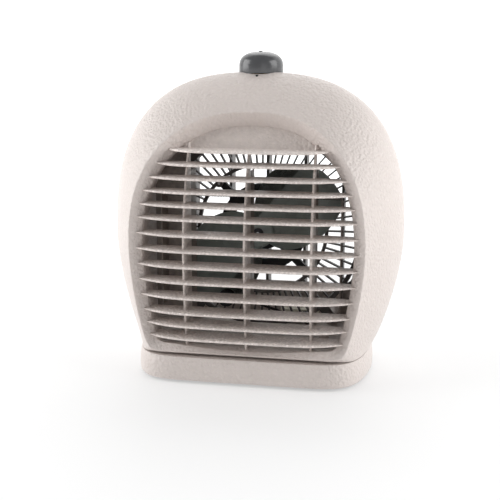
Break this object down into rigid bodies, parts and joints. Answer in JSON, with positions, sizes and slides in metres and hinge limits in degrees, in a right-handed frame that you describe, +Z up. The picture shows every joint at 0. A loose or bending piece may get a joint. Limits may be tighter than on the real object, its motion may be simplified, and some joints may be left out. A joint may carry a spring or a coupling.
{
  "type": "fan convector heater",
  "caption": "Free-standing fan heater: bulbous grained plastic casing on an oval plinth, bowed front louvre, top selector knob, and a fan, guard and wire element inside.",
  "frame": {"origin": "on the floor, under the middle of the overall box", "axes": "+Z up, the louvred front faces -Y, +X to the right of a viewer who faces the front"},
  "size_m": [0.246, 0.146, 0.2665],
  "materials": {
    "shell": "pebble-grained moulded plastic",
    "grille": "pebble-grained moulded plastic",
    "dark_plastic": "moulded plastic",
    "black_plastic": "moulded plastic",
    "knob_plastic": "polished",
    "fan_plastic": "semi-gloss",
    "rubber": "matt",
    "steel": "plated",
    "motor_steel": "painted",
    "brass": "turned",
    "magnet": "sintered",
    "copper_winding": "enamelled",
    "mica": "laminated sheet",
    "terminal": "moulded",
    "wire_skin": "flexible sleeve"
  },
  "bodies": {
    "housing": {"front_casing": "shell", "rear_casing": "shell", "back_panel": "shell", "front_grille": "grille", "intake_frame": "dark_plastic", "intake_plates": "dark_plastic", "base_tray": "shell", "base_plate": "dark_plastic", "rubber_feet": "rubber", "index_pip": "black_plastic", "selector_body": "black_plastic", "selector_nut": "brass", "motor_can": "motor_steel", "field_magnets": "magnet", "motor_end_cap": "black_plastic", "front_bush": "brass", "rear_bush": "brass", "fan_guard": "dark_plastic", "motor_mount": "black_plastic", "element_boards": "mica", "element_rails": "mica", "element_baffle": "mica", "heating_wires": "steel", "thermal_cutout": "black_plastic", "thermal_fuse": "brass", "terminal_block": "terminal", "cable_gland": "rubber", "wiring": "wire_skin", "casing_screws": "steel", "guard_screws": "steel", "plinth_screws": "steel", "base_screws": "steel", "mount_screws": "steel"},
    "knob": {"knob": "knob_plastic", "knob_pointer": "black_plastic", "selector_spindle": "steel"},
    "fan": {"fan_impeller": "fan_plastic", "fan_clip": "motor_steel", "motor_shaft": "steel", "armature": "copper_winding", "commutator": "brass"}
  },
  "joints": [
    {"name": "knob_turn", "type": "hinge", "parent": "housing", "child": "knob", "pos_m": [0, 0.0125, 0.2484], "axis": [0, 0, 1], "range_deg": [-135, 135]},
    {"name": "fan_spin", "type": "hinge", "parent": "housing", "child": "fan", "pos_m": [0, 0, 0.114], "axis": [0, 1, 0], "continuous": true}
  ]
}
